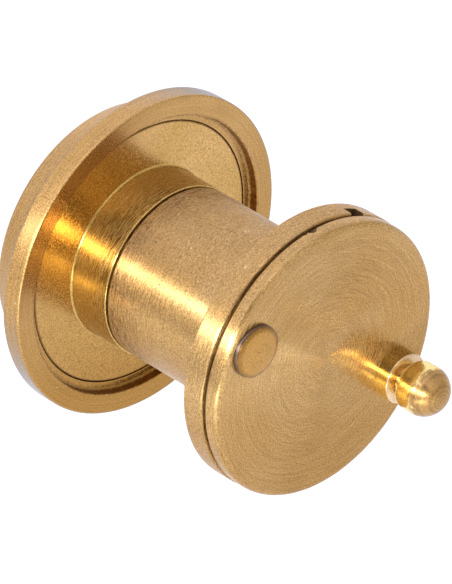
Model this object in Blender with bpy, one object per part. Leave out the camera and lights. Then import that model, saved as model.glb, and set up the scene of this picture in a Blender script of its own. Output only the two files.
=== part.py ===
"""Door viewer with a swinging privacy cover, in turned solid brass.

Frame: metres, +Z up. The sight line lies along Y. The outside of the door is towards +Y, the room
towards -Y. The origin is on the sight line, in the plane of the rose's face that bears on the door.
Turned pieces are drawn as half sections, (radius, y), and spun about the sight line.
"""
import math

import bmesh
import bpy
from mathutils import Matrix, Vector

# Driving dimensions
COVER_RADIUS = 0.0220
COVER_THICK = 0.0027
COVER_ROUND = 0.0008       # round on the cover's front edge
FLANGE_RADIUS = 0.0221
FLANGE_THICK = 0.0039
GRIP = 0.0312              # door thickness held when the halves are screwed right home
BARREL_RADIUS = 0.0137     # interior half
COLLAR_RADIUS = 0.01385    # exterior half, where it shows beside the interior barrel
COLLAR_LENGTH = 0.0058     # from the rose's door face to the shoulder the barrel meets
COLLAR_FILLET = 0.0004
THREAD_RADIUS = 0.0122     # crests of the male thread
SHANK_LENGTH = 0.0310      # from the rose's door face
ROSE_RADIUS = 0.0259
ROSE_RIM = 0.0034          # thickness of the rose's cylindrical rim
ROSE_FRONT = 0.0102        # how far the rose stands out from the door
ROSE_FOOT = 0.0226         # foot of the cove
ROSE_CROWN = 0.0207        # raised front
ROSE_BORE = 0.0150
RECESS_RADIUS = 0.0226
RECESS_DEPTH = 0.0015
RECESS_FILLET = 0.0005
SEAT_RADIUS = 0.0210       # disc of the exterior barrel, let into the rose
SEAT_THICK = 0.0018

GAP = 0.0003               # between pieces that touch
FINE_GAP = 0.0001          # between pieces in a tight stack or a running fit
EDGE = 0.0004              # broken edge on turned pieces
FINE_EDGE = 0.0002

# Cover, its pivot and its knob
PIVOT_ORBIT = 0.01685      # from the sight line to the pivot
PIVOT_CLOCK = math.radians(149.2)    # from +X towards +Z
KNOB_ORBIT = 0.0166
KNOB_CLOCK = math.radians(-31.8)
SCREW_RADIUS = 0.0015
SCREW_DEPTH = 0.0028       # of the pivot screw in the flange
PIVOT_SHOULDER = 0.0022
PIVOT_HEAD = 0.00405
PIVOT_HEAD_THICK = 0.0006
WASHER_RADIUS = 0.00425
WASHER_THICK = 0.0005
RUNNING_FIT = 0.00015      # of the cover and the washer on the pivot's shoulder
KNOB_RADIUS = 0.0040
KNOB_REACH = 0.0063        # from the cover's face to the centre of the ball
KNOB_COLLAR = 0.0028       # length of the collar
KNOB_BEVEL = 0.0012        # across the bevel on the collar's free end, whose depth is 0.4 of this
KNOB_STRAIGHT = 0.0013     # straight side behind the ball's widest place
KNOB_NECK = 0.0024
KNOB_STEM = 0.0020
KNOB_TAP = 0.0012
KNOB_SCREW = 0.0011
SINK_RADIUS = 0.0032
SINK_DEPTH = 0.0013
DRIVER_GROOVE = 0.0008

# Key slots in the flange
SLOT_CLOCK = math.radians(65.0)
SLOT_WIDTH = 0.0027
SLOT_DEPTH = 0.0018
SLOT_INNER = 0.0165        # the slots run out from here through the rim

# Optics. The inner lenses stand on a shelf inside the exterior barrel.
LENS_BORE = 0.0116
LENS_SHELF = -0.0070
SIGHT_BORE = 0.0096
INNER_LENS_RADIUS = 0.0113
INNER_CLEAR = 0.0093
THIRD_LENS_THICK = 0.0020
SPACER_THICK = 0.0026
SPACER_BORE = 0.0097
SECOND_LENS_THICK = 0.0019
LOCK_RING_THICK = 0.0016
LOCK_RING_BORE = 0.0095
SEAL_MIDDLE = 0.0133
SEAL_THICK = 0.00045       # radius of its round section
OBJECTIVE_RADIUS = 0.0143
OBJECTIVE_CLEAR = 0.0120
OBJECTIVE_THICK = 0.0024   # at its rim
BEZEL_RADIUS = 0.0147
BEZEL_BORE = 0.0121
BEZEL_LIP = 0.0105
EYEPIECE_RADIUS = 0.0087
EYEPIECE_WINDOW = 0.0070
EYEPIECE_FLOOR = -0.0324
EYEPIECE_THICK = 0.0012    # at its rim

# Places along the sight line
FLANGE_BACK = -GRIP
FLANGE_FRONT = FLANGE_BACK - FLANGE_THICK
COVER_BACK = FLANGE_FRONT - GAP
COVER_FRONT = COVER_BACK - COVER_THICK
SHOULDER = -COLLAR_LENGTH
SHANK_END = -SHANK_LENGTH
BORE_FLOOR = -0.0315

LARGE_STEPS = 48
SMALL_STEPS = 28


def clear_scene():
    for item in list(bpy.data.objects):
        bpy.data.objects.remove(item, do_unlink=True)


def metal(name, color, roughness):
    return material(name, color, roughness, 1.0)


def material(name, color, roughness, metallic, transmission=0.0):
    made = bpy.data.materials.new(name)
    made.use_nodes = True
    shader = made.node_tree.nodes["Principled BSDF"]
    shader.inputs["Base Color"].default_value = (*color, 1.0)
    shader.inputs["Roughness"].default_value = roughness
    shader.inputs["Metallic"].default_value = metallic
    shader.inputs["Transmission Weight"].default_value = transmission
    return made


def clock_point(orbit, clock, y=0.0):
    """A point at a distance from the sight line, at an angle from +X towards +Z."""
    return Vector((orbit * math.cos(clock), y, orbit * math.sin(clock)))


def add_object(name, mesh, finish, parent, place=(0.0, 0.0, 0.0)):
    """Place is in world axes; the parent empty only moves the origin."""
    item = bpy.data.objects.new(name, mesh)
    bpy.context.collection.objects.link(item)
    if finish:
        mesh.materials.append(finish)
    if parent:
        item.parent = parent
        item.location = Vector(place) - parent.location
    else:
        item.location = Vector(place)
    return item


def spun_mesh(name, outline, steps):
    """Spin a closed half section about Y. Points on the axis close the solid there."""
    sketch = bmesh.new()
    corners = [sketch.verts.new((radius, y, 0.0)) for radius, y in outline]
    edges = []
    for start, end in zip(corners, corners[1:] + corners[:1]):
        on_axis = start.co.x < 1e-7 and end.co.x < 1e-7
        if not on_axis:
            edges.append(sketch.edges.new((start, end)))
    bmesh.ops.spin(
        sketch, geom=corners + edges, cent=(0.0, 0.0, 0.0), axis=(0.0, 1.0, 0.0),
        angle=2.0 * math.pi, steps=steps, use_merge=True, use_duplicate=False)
    bmesh.ops.remove_doubles(sketch, verts=sketch.verts, dist=1e-7)
    bmesh.ops.recalc_face_normals(sketch, faces=sketch.faces)
    mesh = bpy.data.meshes.new(name)
    sketch.to_mesh(mesh)
    sketch.free()
    mesh.shade_smooth()
    mesh.set_sharp_from_angle(angle=math.radians(30.0))
    return mesh


def turned(name, outline, finish, parent=None, place=(0.0, 0.0, 0.0), steps=LARGE_STEPS):
    return add_object(name, spun_mesh(name, outline, steps), finish, parent, place)


def arc(centre, radius, start, end, pieces):
    """Points of an arc in the half section, angles in degrees from the radius axis towards +Y."""
    points = []
    for index in range(pieces + 1):
        angle = math.radians(start + (end - start) * index / pieces)
        points.append((centre[0] + radius * math.cos(angle), centre[1] + radius * math.sin(angle)))
    return points


def cut(target, cutter):
    """Take the cutter's shape out of the target."""
    cutter.hide_render = True
    cutter.display_type = "WIRE"
    knife = target.modifiers.new(cutter.name, "BOOLEAN")
    knife.operation = "DIFFERENCE"
    knife.solver = "EXACT"
    knife.object = cutter


def slot_cutter(name, clock, inner, outer, width, low_y, high_y, parent):
    """A box that lies out along one clock direction."""
    sketch = bmesh.new()
    bmesh.ops.create_cube(sketch, size=1.0)
    shape = Matrix.Diagonal((outer - inner, high_y - low_y, width, 1.0))
    turn = Matrix.Rotation(-clock, 4, "Y")
    middle = clock_point((inner + outer) / 2.0, clock, (low_y + high_y) / 2.0)
    bmesh.ops.transform(sketch, verts=sketch.verts, matrix=Matrix.Translation(middle) @ turn @ shape)
    mesh = bpy.data.meshes.new(name)
    sketch.to_mesh(mesh)
    sketch.free()
    return add_object(name, mesh, None, parent)


def spanner_slots(ring, clock, inner, outer, width, low_y, high_y, parent=None):
    """Two slots across a ring, opposite each other."""
    for index in range(2):
        name = f"{ring.name}_slot_{index + 1}"
        cut(ring, slot_cutter(name, clock + index * math.pi, inner, outer, width, low_y, high_y, parent))


# Exterior half

def build_front_rose(finish):
    """Rim, cove and raised front in one turning, recessed on the door side for the barrel's disc."""
    seat_bore = SEAT_RADIUS + GAP
    seat_floor = RECESS_DEPTH + SEAT_THICK + GAP
    outline = [
        (RECESS_RADIUS, 0.0),
        (ROSE_RADIUS - EDGE, 0.0),
        (ROSE_RADIUS, EDGE),
        (ROSE_RADIUS, ROSE_RIM - EDGE),
        (ROSE_RADIUS - EDGE, ROSE_RIM),
        (ROSE_FOOT + 0.0005, ROSE_RIM),
        (ROSE_FOOT, ROSE_RIM + 0.0006),
        (ROSE_CROWN + 0.0010, ROSE_FRONT - 0.0036),
        (ROSE_CROWN + 0.0002, ROSE_FRONT - 0.0014),
        (ROSE_CROWN - 0.0001, ROSE_FRONT - 0.0005),
        (ROSE_CROWN - 0.0006, ROSE_FRONT),
        (ROSE_BORE + 0.0003, ROSE_FRONT),
        (ROSE_BORE, ROSE_FRONT - 0.0003),
        (ROSE_BORE, seat_floor),
        (seat_bore, seat_floor),
        (seat_bore, RECESS_DEPTH),
        (RECESS_RADIUS - RECESS_FILLET, RECESS_DEPTH),
        (RECESS_RADIUS - 0.3 * RECESS_FILLET, RECESS_DEPTH - 0.3 * RECESS_FILLET),
        (RECESS_RADIUS, RECESS_DEPTH - RECESS_FILLET),
    ]
    return turned("front_rose", outline, finish)


def build_front_barrel(finish):
    """Disc, collar and the long threaded shank that reaches into the interior barrel."""
    disc_front = RECESS_DEPTH + SEAT_THICK
    chamfer = 0.0006
    outline = [
        (COLLAR_RADIUS + COLLAR_FILLET, RECESS_DEPTH),
        (SEAT_RADIUS, RECESS_DEPTH),
        (SEAT_RADIUS, disc_front),
        (LENS_BORE, disc_front),
        (LENS_BORE, LENS_SHELF),
        (SIGHT_BORE, LENS_SHELF),
        (SIGHT_BORE, SHANK_END),
        (THREAD_RADIUS - chamfer, SHANK_END),
        (THREAD_RADIUS, SHANK_END + chamfer),
        (THREAD_RADIUS, SHOULDER),
        (COLLAR_RADIUS - FINE_EDGE, SHOULDER),
        (COLLAR_RADIUS, SHOULDER + FINE_EDGE),
        (COLLAR_RADIUS, RECESS_DEPTH - COLLAR_FILLET),
    ]
    return turned("front_barrel", outline, finish)


def lens_outline(radius, clear, low, high, low_sag, high_sag, pieces=6):
    """Half section of a lens with a flat land outside the clear radius.

    A positive sag bulges out of the land, a negative one dishes in.
    """
    def face(edge_y, sag, outward):
        if sag == 0.0:
            return [(0.0, edge_y), (radius, edge_y)]
        sphere = (clear ** 2 + sag ** 2) / (2.0 * abs(sag))
        points = []
        for index in range(pieces + 1):
            r = clear * index / pieces
            rise = math.sqrt(sphere ** 2 - r ** 2) - (sphere - abs(sag))
            points.append((r, edge_y + outward * math.copysign(rise, sag)))
        return points + [(radius, edge_y)]
    return face(low, low_sag, -1.0) + face(high, high_sag, 1.0)[::-1]


def ring_outline(inner, outer, low, high, edge=FINE_EDGE):
    """Half section of a plain ring with broken outer edges."""
    return [
        (inner, low), (outer - edge, low), (outer, low + edge),
        (outer, high - edge), (outer - edge, high), (inner, high),
    ]


def build_lens_stack(glass, ring_finish):
    """Two dished lenses on the shelf, a spacer between them and a threaded ring that locks them."""
    low = LENS_SHELF + GAP
    high = low + THIRD_LENS_THICK
    outline = lens_outline(INNER_LENS_RADIUS, INNER_CLEAR, low, high, -0.0006, -0.0006)
    turned("third_lens", outline, glass, steps=SMALL_STEPS)

    low = high + GAP
    high = low + SPACER_THICK
    outline = ring_outline(SPACER_BORE, INNER_LENS_RADIUS, low, high)
    turned("lens_spacer", outline, ring_finish, steps=SMALL_STEPS)

    low = high + GAP
    high = low + SECOND_LENS_THICK
    outline = lens_outline(INNER_LENS_RADIUS, INNER_CLEAR, low, high, -0.0010, 0.0)
    turned("second_lens", outline, glass, steps=SMALL_STEPS)

    low = high + GAP
    high = low + LOCK_RING_THICK
    outline = ring_outline(LOCK_RING_BORE, INNER_LENS_RADIUS, low, high)
    lock = turned("lens_lock_ring", outline, ring_finish, steps=SMALL_STEPS)
    spanner_slots(lock, math.radians(20.0), LOCK_RING_BORE - 0.001, LENS_BORE + 0.001, 0.0014,
                  high - 0.0007, high + 0.0010)


def build_objective(glass, rubber, finish):
    """Bulging front lens on a rubber seal, held in the rose by a threaded bezel."""
    low = RECESS_DEPTH + SEAT_THICK + 2.0 * FINE_GAP
    outline = arc((SEAL_MIDDLE, low + SEAL_THICK), SEAL_THICK, 0.0, 315.0, 7)
    turned("objective_seal", outline, rubber, steps=SMALL_STEPS)

    low += 2.0 * SEAL_THICK + FINE_GAP
    high = low + OBJECTIVE_THICK
    outline = lens_outline(OBJECTIVE_RADIUS, OBJECTIVE_CLEAR, low, high, -0.0012, 0.0026)
    turned("objective_lens", outline, glass)

    low = high + FINE_GAP
    outline = [
        (BEZEL_BORE + 0.0014, low), (BEZEL_RADIUS, low), (BEZEL_RADIUS, ROSE_FRONT),
        (BEZEL_RADIUS - 0.0003, BEZEL_LIP), (BEZEL_BORE + 0.0008, BEZEL_LIP),
        (BEZEL_BORE, BEZEL_LIP - 0.0008), (BEZEL_BORE, low + 0.0010),
    ]
    bezel = turned("front_bezel", outline, finish)
    spanner_slots(bezel, 0.0, BEZEL_BORE - 0.0006, BEZEL_RADIUS + 0.0013, 0.0016,
                  BEZEL_LIP - 0.0008, BEZEL_LIP + 0.0010)


# Interior half

def build_interior_barrel(finish, parent):
    """Barrel and flange in one turning, with two slots for a key and a tapped pivot hole."""
    bore = THREAD_RADIUS + FINE_GAP
    mouth = SHOULDER - GAP
    pocket = EYEPIECE_RADIUS + GAP
    outline = [
        (bore + EDGE, mouth),
        (BARREL_RADIUS - EDGE, mouth),
        (BARREL_RADIUS, mouth - EDGE),
        (BARREL_RADIUS, FLANGE_BACK),
        (FLANGE_RADIUS - EDGE, FLANGE_BACK),
        (FLANGE_RADIUS, FLANGE_BACK - EDGE),
        (FLANGE_RADIUS, FLANGE_FRONT + EDGE),
        (FLANGE_RADIUS - EDGE, FLANGE_FRONT),
        (pocket + FINE_EDGE, FLANGE_FRONT),
        (pocket, FLANGE_FRONT + FINE_EDGE),
        (pocket, EYEPIECE_FLOOR),
        (EYEPIECE_WINDOW, EYEPIECE_FLOOR),
        (EYEPIECE_WINDOW, BORE_FLOOR),
        (bore, BORE_FLOOR),
        (bore, mouth - EDGE),
    ]
    barrel = turned("interior_barrel", outline, finish, parent)
    for index in range(2):
        clock = SLOT_CLOCK + index * math.pi
        slot = slot_cutter(f"key_slot_{index + 1}", clock, SLOT_INNER, FLANGE_RADIUS + 0.002,
                           SLOT_WIDTH, FLANGE_FRONT - 0.001, FLANGE_FRONT + SLOT_DEPTH, parent)
        cut(barrel, slot)
    tapped = SCREW_RADIUS + FINE_GAP
    depth = SCREW_DEPTH + GAP
    hole = [(0.0, -0.001), (tapped, -0.001), (tapped, depth), (0.0, depth)]
    cut(barrel, turned("pivot_hole", hole, None, parent,
                       clock_point(PIVOT_ORBIT, PIVOT_CLOCK, FLANGE_FRONT), SMALL_STEPS))
    return barrel


def build_eyepiece(glass, finish, carrier, parent):
    """Bulging lens in the flange's pocket, and the slotted ring that holds it there."""
    high = EYEPIECE_FLOOR - FINE_GAP
    low = high - EYEPIECE_THICK
    outline = lens_outline(EYEPIECE_RADIUS - FINE_GAP, EYEPIECE_WINDOW - FINE_GAP, low, high, 0.0007, 0.00065)
    turned("eyepiece_lens", outline, glass, carrier, steps=SMALL_STEPS)

    high = low - FINE_GAP
    face = FLANGE_FRONT + FINE_GAP
    outline = [
        (EYEPIECE_WINDOW, face + 0.0003),
        (EYEPIECE_WINDOW + 0.0005, face),
        (EYEPIECE_RADIUS, face),
        (EYEPIECE_RADIUS, high),
        (EYEPIECE_WINDOW + 0.0009, high),
        (EYEPIECE_WINDOW, high - 0.0003),
    ]
    ring = turned("eyepiece_ring", outline, finish, parent)
    spanner_slots(ring, SLOT_CLOCK, EYEPIECE_WINDOW - 0.0005, EYEPIECE_RADIUS + 0.0008, 0.0014,
                  face - 0.0006, face + 0.0006, parent)


# Cover

def build_swing_cover(finish, parent):
    """Plain disc with a pivot hole, and a hole that is countersunk from behind for the knob."""
    front_edge = arc((COVER_RADIUS - COVER_ROUND, COVER_FRONT + COVER_ROUND), COVER_ROUND, 0.0, -90.0, 4)
    outline = [(0.0, COVER_BACK), (COVER_RADIUS - EDGE, COVER_BACK), (COVER_RADIUS, COVER_BACK - EDGE)]
    outline += front_edge + [(0.0, COVER_FRONT)]
    cover = turned("swing_cover", outline, finish, parent)

    reach = COVER_THICK + 0.001
    clearance = PIVOT_SHOULDER + RUNNING_FIT
    hole = [(0.0, -0.001), (clearance, -0.001), (clearance, reach), (0.0, reach)]
    cut(cover, turned("cover_pivot_hole", hole, None, parent,
                      clock_point(PIVOT_ORBIT, PIVOT_CLOCK, COVER_FRONT), SMALL_STEPS))

    stem = KNOB_STEM + 2.0 * FINE_GAP
    sink = SINK_RADIUS + 2.0 * FINE_GAP
    hole = [
        (0.0, -0.001), (stem, -0.001), (stem, COVER_THICK - SINK_DEPTH),
        (sink, COVER_THICK), (sink, reach), (0.0, reach),
    ]
    cut(cover, turned("cover_knob_hole", hole, None, parent,
                      clock_point(KNOB_ORBIT, KNOB_CLOCK, COVER_FRONT), SMALL_STEPS))
    return cover


def build_pivot(finish, steel, parent):
    """Shouldered screw with a low domed head, and the spring washer that it presses on the cover."""
    place = clock_point(PIVOT_ORBIT, PIVOT_CLOCK)
    washer_high = COVER_FRONT - FINE_GAP
    washer_low = washer_high - WASHER_THICK
    outline = ring_outline(PIVOT_SHOULDER + RUNNING_FIT, WASHER_RADIUS, washer_low, washer_high, FINE_GAP)
    turned("pivot_washer", outline, steel, parent, place, SMALL_STEPS)

    seat = washer_low - FINE_GAP
    top = seat - PIVOT_HEAD_THICK
    shoulder_end = FLANGE_FRONT - FINE_GAP
    tip = FLANGE_FRONT + SCREW_DEPTH
    outline = [
        (0.0, top),
        (0.5 * PIVOT_HEAD, top + 0.00004),
        (PIVOT_HEAD - 0.0006, top + 0.00014),
        (PIVOT_HEAD - 0.0002, top + 0.0003),
        (PIVOT_HEAD, top + 0.0004),
        (PIVOT_HEAD, seat),
        (PIVOT_SHOULDER, seat),
        (PIVOT_SHOULDER, shoulder_end),
        (SCREW_RADIUS, shoulder_end),
        (SCREW_RADIUS, tip - 0.0003),
        (SCREW_RADIUS - 0.0003, tip),
        (0.0, tip),
    ]
    turned("pivot_screw", outline, finish, parent, place, SMALL_STEPS)


def build_knob(finish, steel, parent):
    """Ball on a neck and collar, turned in one with a stem that the screw behind draws up."""
    place = clock_point(KNOB_ORBIT, KNOB_CLOCK)
    seat = COVER_FRONT - FINE_GAP
    collar_end = seat - KNOB_COLLAR
    ball_y = COVER_FRONT - KNOB_REACH
    neck_angle = math.degrees(math.acos(KNOB_NECK / KNOB_RADIUS))
    stem_end = COVER_BACK - SINK_DEPTH - FINE_GAP
    tap_floor = seat - 0.0012
    neck_rise = KNOB_RADIUS * math.sin(math.radians(neck_angle))
    squeeze = (neck_rise - KNOB_STRAIGHT) / neck_rise
    back = [(radius, ball_y + KNOB_STRAIGHT + (y - ball_y) * squeeze)
            for radius, y in arc((0.0, ball_y), KNOB_RADIUS, neck_angle, 0.0, 6)]
    front = arc((0.0, ball_y), KNOB_RADIUS, 0.0, -90.0, 9)
    front[-1] = (0.0, ball_y - KNOB_RADIUS)
    outline = [
        (0.0, tap_floor),
        (KNOB_TAP, tap_floor),
        (KNOB_TAP, stem_end),
        (KNOB_STEM, stem_end),
        (KNOB_STEM, seat),
        (KNOB_RADIUS, seat),
        (KNOB_RADIUS, collar_end + 0.4 * KNOB_BEVEL),
        (KNOB_RADIUS - KNOB_BEVEL, collar_end),
        (KNOB_NECK, collar_end),
    ] + back + front
    turned("cover_knob", outline, finish, parent, place, SMALL_STEPS)

    head_top = COVER_BACK - FINE_GAP
    tip = seat - 0.0008
    outline = [
        (0.0, tip), (KNOB_SCREW, tip), (KNOB_SCREW, head_top - SINK_DEPTH + 0.0002),
        (SINK_RADIUS, head_top - 0.0001), (SINK_RADIUS, head_top), (0.0, head_top),
    ]
    screw = turned("knob_screw", outline, steel, parent, place, SMALL_STEPS)
    groove = slot_cutter("knob_screw_groove", 0.0, -0.005, 0.005, DRIVER_GROOVE, -0.0005, 0.0005, parent)
    groove.location = Vector(place) + Vector((0.0, head_top, 0.0)) - parent.location
    cut(screw, groove)


def add_empty(name, place, parent=None):
    """An empty on a joint's axis. Children are placed in world axes from it."""
    empty = bpy.data.objects.new(name, None)
    bpy.context.collection.objects.link(empty)
    empty.location = Vector(place)
    if parent:
        empty.parent = parent
        empty.location = Vector(place) - parent.location
    return empty


def build_viewer():
    clear_scene()
    satin_brass = metal("satin_brass", (0.60, 0.38, 0.14), 0.30)
    cast_brass = metal("cast_brass", (0.56, 0.36, 0.14), 0.42)
    polished_brass = metal("polished_brass", (0.66, 0.43, 0.16), 0.16)
    steel = metal("spring_steel", (0.55, 0.54, 0.52), 0.25)
    black_ring = material("black_ring", (0.02, 0.02, 0.02), 0.5, 0.6)
    rubber = material("seal_rubber", (0.02, 0.02, 0.02), 0.8, 0.0)
    glass = material("lens_glass", (0.95, 0.98, 0.97), 0.02, 0.0, 1.0)

    build_front_rose(satin_brass)
    build_front_barrel(cast_brass)
    build_lens_stack(glass, black_ring)
    build_objective(glass, rubber, satin_brass)

    screw_axis = add_empty("screw_axis", (0.0, 0.0, 0.0))
    build_interior_barrel(satin_brass, screw_axis)
    build_eyepiece(glass, satin_brass, screw_axis, screw_axis)
    build_pivot(satin_brass, steel, screw_axis)

    cover_axis = add_empty("cover_axis", clock_point(PIVOT_ORBIT, PIVOT_CLOCK))
    build_swing_cover(satin_brass, cover_axis)
    build_knob(polished_brass, steel, cover_axis)


build_viewer()
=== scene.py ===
"""Looks of the door viewer: fine turned pieces, procedural metals and glass, floor, light and camera.

Metres, in the CAD's frame: the sight line lies along Y, the outside of the door towards +Y. Each
turned piece is a closed half section, (radius, y), spun about its own Y axis. Its places come from the
CAD nodes' boxes.
"""
import math

import bmesh
import bpy
from mathutils import Matrix, Vector, noise


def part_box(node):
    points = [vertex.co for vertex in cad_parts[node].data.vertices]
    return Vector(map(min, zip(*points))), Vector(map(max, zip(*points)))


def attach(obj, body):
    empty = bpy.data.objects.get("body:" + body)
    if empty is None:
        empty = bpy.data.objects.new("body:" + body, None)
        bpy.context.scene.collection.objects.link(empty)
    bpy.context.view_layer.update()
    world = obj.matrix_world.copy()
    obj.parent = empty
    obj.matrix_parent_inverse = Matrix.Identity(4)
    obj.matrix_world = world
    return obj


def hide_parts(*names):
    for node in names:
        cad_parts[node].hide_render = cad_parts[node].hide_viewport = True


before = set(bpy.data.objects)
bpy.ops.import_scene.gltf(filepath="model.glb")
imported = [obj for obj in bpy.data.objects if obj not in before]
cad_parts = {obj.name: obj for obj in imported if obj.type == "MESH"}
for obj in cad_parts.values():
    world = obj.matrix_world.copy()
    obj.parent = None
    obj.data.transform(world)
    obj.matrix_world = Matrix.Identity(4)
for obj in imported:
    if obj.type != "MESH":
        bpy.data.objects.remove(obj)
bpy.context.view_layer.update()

FINE = 224                 # steps round a large piece
MEDIUM = 112               # steps round a small piece
HOLE_STEPS = 64            # steps round a hole's cutter
SMALL_EDGE = 0.0001        # chamfer that is left along a cut
PITCH = 0.0015             # of the thread
THREAD_ROWS = 16           # rows of mesh in one turn of the thread
SHARP_ANGLE = math.radians(38.0)


# Places read from the CAD

def radius_of(node):
    low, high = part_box(node)
    return (high.x - low.x) / 2.0


def span_of(node):
    """Lowest and highest y of a node."""
    low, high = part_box(node)
    return low.y, high.y


def axis_of(node):
    """The point where a turned node's own axis crosses y = 0."""
    low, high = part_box(node)
    return Vector(((low.x + high.x) / 2.0, 0.0, (low.z + high.z) / 2.0))


# Sizes that several functions share

RECESS_RADIUS = radius_of("front_rose") - 0.0033    # the round recess in the rose's door side
KNOB_COLLAR = 0.0029                                # how far the knob's collar stands off the cover
PIVOT_HOLE = 0.00235                                # radius, in the cover and in the washer
SLOT_CLOCK = math.radians(65.0)                     # where the flange's first key slot lies
SLOT_WIDTH = 0.0027
SLOT_DEPTH = 0.0018
SLOT_INNER = 0.0165                                 # radius at which the key slots end
SPANNER_WIDTH = 0.0014                              # of the slots in the lock ring and the eyepiece ring


# Mesh tools

def softened(corners, pieces=4):
    """Round the corners of a closed half section.

    A corner is (radius, y), (radius, y, how far the rounding reaches) or (radius, y, 0, depth of thread).
    A row on each side of a rounding keeps the flat faces beside it flat.
    """
    most = 0.45            # share of a side that a rounding may take
    row = 1.5              # place of the extra row, in reaches from the corner
    room = 3.5             # a side shorter than this many reaches gets no extra row
    points = []
    for index, corner in enumerate(corners):
        here = Vector(corner[:2])
        reach = corner[2] if len(corner) > 2 else 0.0
        if reach == 0.0:
            points.append((*corner[:2], corner[3] if len(corner) > 3 else 0.0))
            continue
        before = Vector(corners[index - 1][:2]) - here
        after = Vector(corners[(index + 1) % len(corners)][:2]) - here
        start = here + before.normalized() * min(reach, before.length * most)
        end = here + after.normalized() * min(reach, after.length * most)
        if before.length > room * reach:
            points.append((*(here + before.normalized() * row * reach), 0.0))
        for step in range(pieces + 1):
            t = step / pieces
            points.append((*(start * (1 - t) ** 2 + here * 2 * t * (1 - t) + end * t ** 2), 0.0))
        if after.length > room * reach:
            points.append((*(here + after.normalized() * row * reach), 0.0))
    return points


def arc(centre, radius, start, end, pieces):
    """Points of an arc in the half section, angles in degrees from the radius axis towards +Y."""
    points = []
    for index in range(pieces + 1):
        angle = math.radians(start + (end - start) * index / pieces)
        points.append((centre[0] + radius * math.cos(angle), centre[1] + radius * math.sin(angle)))
    return points


def thread_wave(y, turn):
    """0 in the root of the thread and 1 on its crest, with flats on both and sloping flanks between."""
    root_flat = 0.15
    flank = 0.6
    phase = (y / PITCH + turn) % 1.0
    ramp = abs(phase - 0.5) * 2.0
    return min(1.0, max(0.0, (ramp - root_flat) / flank))


def thread_rows(root, crest, start, end, fade):
    """Rows of a thread from start to end, which fades in and out over a length at each end."""
    rows = []
    count = max(2, int(abs(end - start) / PITCH * THREAD_ROWS))
    for index in range(count + 1):
        y = start + (end - start) * index / count
        near = min(abs(y - start), abs(y - end))
        strength = min(1.0, near / fade)
        rows.append((crest, y, 0.0, (root - crest) * strength))
    return rows


def placed(work, name, place=Vector()):
    """Turn finished mesh work into an object of the scene."""
    mesh = bpy.data.meshes.new(name)
    work.to_mesh(mesh)
    work.free()
    item = bpy.data.objects.new(name, mesh)
    item.location = place
    bpy.context.scene.collection.objects.link(item)
    return item


def spun(name, outline, steps, axis=Vector()):
    """Spin a closed half section. A point is (radius, y) or (radius, y, depth that the thread cuts)."""
    on_axis = 1e-7
    work = bmesh.new()
    rows = []
    for point in outline:
        radius, y = point[:2]
        depth = point[2] if len(point) > 2 else 0.0
        if radius < on_axis:
            rows.append([work.verts.new((0.0, y, 0.0))])
            continue
        row = []
        for step in range(steps):
            turn = step / steps
            cut = depth * (1.0 - thread_wave(y, turn)) if depth else 0.0
            angle = turn * 2.0 * math.pi
            out = radius + cut
            row.append(work.verts.new((out * math.cos(angle), y, out * math.sin(angle))))
        rows.append(row)
    for index, row in enumerate(rows):
        after = rows[(index + 1) % len(rows)]
        if len(row) == 1 and len(after) == 1:
            continue
        for step in range(steps):
            corners = [row[step % len(row)], row[(step + 1) % len(row)],
                       after[(step + 1) % len(after)], after[step % len(after)]]
            work.faces.new(list(dict.fromkeys(corners)))
    bmesh.ops.recalc_face_normals(work, faces=work.faces)
    return placed(work, name, axis)


def box_cutter(clock, inner, outer, width, low_y, high_y):
    """A box that lies out from the sight line along one direction, to be cut away."""
    work = bmesh.new()
    bmesh.ops.create_cube(work, size=1.0)
    middle = (inner + outer) / 2.0
    place = Vector((middle * math.cos(clock), (low_y + high_y) / 2.0, middle * math.sin(clock)))
    shape = Matrix.Diagonal((outer - inner, high_y - low_y, width, 1.0))
    bmesh.ops.transform(work, verts=work.verts,
                        matrix=Matrix.Translation(place) @ Matrix.Rotation(-clock, 4, "Y") @ shape)
    return placed(work, "cutter")


def slot_pair(clock, inner, outer, width, low_y, high_y):
    """Cutters for two slots that face each other across the sight line."""
    return [box_cutter(clock + half * math.pi, inner, outer, width, low_y, high_y) for half in range(2)]


def hole_cutter(node, steps):
    """A stepped round cutter on a node's own axis. A step is (radius, y)."""
    outline = [(0.0, steps[0][1])] + steps + [(0.0, steps[-1][1])]
    return spun("cutter", outline, HOLE_STEPS, axis_of(node))


def carve(item, cutters, edge=0.0):
    """Take the cutters out of a piece, chamfer the sharp edges if asked, and keep the result as its mesh."""
    for cutter in cutters:
        knife = item.modifiers.new("cut", "BOOLEAN")
        knife.object = cutter
        knife.solver = "EXACT"
    if edge:
        bevel = item.modifiers.new("edge", "BEVEL")
        bevel.width = edge
        bevel.segments = 2
        bevel.limit_method = "ANGLE"
        bevel.angle_limit = math.radians(50.0)
    bpy.context.view_layer.update()
    shaped = bpy.data.meshes.new_from_object(item.evaluated_get(bpy.context.evaluated_depsgraph_get()))
    item.modifiers.clear()
    item.data = shaped
    for cutter in cutters:
        bpy.data.objects.remove(cutter, do_unlink=True)


def dress(item, material, body, node):
    item.data.materials.clear()
    item.data.materials.append(material)
    item.data.shade_smooth()
    item.data.set_sharp_from_angle(angle=SHARP_ANGLE)
    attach(item, body)
    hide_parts(node)


def refinish(item, material, chosen):
    """Give another finish to the faces whose middle is chosen."""
    item.data.materials.append(material)
    for face in item.data.polygons:
        if chosen(face.center):
            face.material_index = len(item.data.materials) - 1


# Materials

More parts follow.
